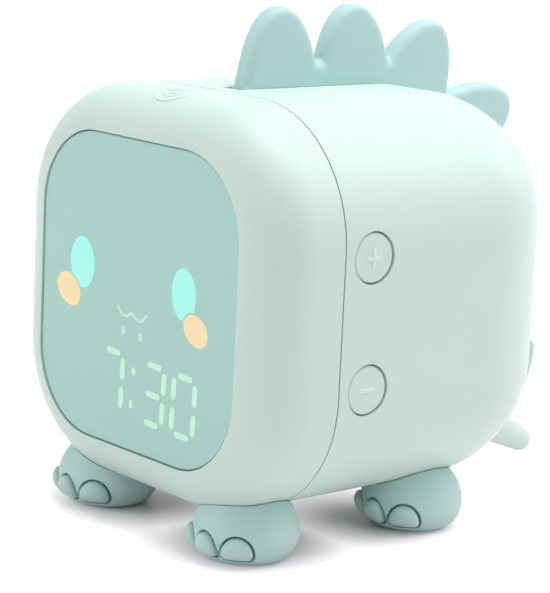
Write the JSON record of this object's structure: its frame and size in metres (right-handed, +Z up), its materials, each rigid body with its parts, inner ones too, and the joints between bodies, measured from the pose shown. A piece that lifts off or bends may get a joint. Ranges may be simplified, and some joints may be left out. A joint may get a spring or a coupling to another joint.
{
  "type": "kids alarm clock with night light",
  "caption": "Rounded bedside alarm clock with a lit face and digits behind a flat window, side push buttons, toed feet, a soft fin crest and a tail.",
  "frame": {"origin": "on the table, under the middle of the overall box", "axes": "+Z up from the table, the display faces -Y, +X to the viewer's right when facing the display"},
  "size_m": [0.088, 0.1226, 0.1116],
  "materials": {
    "body_plastic": "soft matt coat",
    "window_plastic": "satin, lets the lit figures through",
    "film": "diffusing",
    "tray_plastic": "matt white",
    "circuit_board": "solder mask",
    "led": "lens",
    "chip": "moulded",
    "screw_steel": "zinc plated",
    "leaf_metal": "spring strip",
    "crest_silicone": "satin silicone",
    "foot_silicone": "satin silicone",
    "clear_pad": "clear silicone",
    "switch_plastic": "moulded",
    "plunger_plastic": "moulded",
    "battery_wrap": "shrink wrap",
    "cradle_plastic": "moulded",
    "speaker_steel": "plated",
    "speaker_paper": "paper cone",
    "usb_metal": "nickel plated"
  },
  "bodies": {
    "clock": {"alarm_switch": "switch_plastic", "battery_cell": "battery_wrap", "battery_cradle": "cradle_plastic", "button_board_screws": "screw_steel", "cradle_screws": "screw_steel", "crest": "crest_silicone", "diffuser_film": "film", "display_board": "circuit_board", "display_driver": "chip", "display_screws": "screw_steel", "display_window": "window_plastic", "face_leds": "led", "foot_front_left": "foot_silicone", "foot_front_right": "foot_silicone", "foot_rear_left": "foot_silicone", "foot_rear_right": "foot_silicone", "foot_screws": "screw_steel", "front_shell": "body_plastic", "left_button_board": "circuit_board", "light_tray": "tray_plastic", "main_board": "circuit_board", "main_board_screws": "screw_steel", "main_chips": "chip", "minus_switch": "switch_plastic", "night_light_leds": "led", "pad_front_left": "clear_pad", "pad_front_right": "clear_pad", "pad_rear_left": "clear_pad", "pad_rear_right": "clear_pad", "plus_switch": "switch_plastic", "rear_shell": "body_plastic", "right_button_board": "circuit_board", "segment_leds": "led", "set_switch": "switch_plastic", "shell_screws": "screw_steel", "speaker_basket": "speaker_steel", "speaker_cone": "speaker_paper", "speaker_magnet": "speaker_steel", "tail": "body_plastic", "tail_fin": "crest_silicone", "tail_screw": "screw_steel", "touch_leaf": "leaf_metal", "usb_board": "circuit_board", "usb_screws": "screw_steel", "usb_socket": "usb_metal"},
    "plus_key": {"plus_button": "body_plastic", "plus_plunger": "plunger_plastic"},
    "minus_key": {"minus_button": "body_plastic", "minus_plunger": "plunger_plastic"},
    "set_key": {"set_button": "body_plastic", "set_plunger": "plunger_plastic"},
    "alarm_key": {"alarm_button": "body_plastic", "alarm_plunger": "plunger_plastic"}
  },
  "joints": [
    {"name": "plus_press", "type": "slide", "parent": "clock", "child": "plus_key", "axis": [-1, 0, 0], "range_m": [0, 0.0006], "stiffness_N_per_m": 900, "springref_m": -0.0006},
    {"name": "minus_press", "type": "slide", "parent": "clock", "child": "minus_key", "axis": [-1, 0, 0], "range_m": [0, 0.0006], "stiffness_N_per_m": 900, "springref_m": -0.0006},
    {"name": "set_press", "type": "slide", "parent": "clock", "child": "set_key", "axis": [1, 0, 0], "range_m": [0, 0.0006], "stiffness_N_per_m": 900, "springref_m": -0.0006},
    {"name": "alarm_press", "type": "slide", "parent": "clock", "child": "alarm_key", "axis": [1, 0, 0], "range_m": [0, 0.0006], "stiffness_N_per_m": 900, "springref_m": -0.0006}
  ]
}
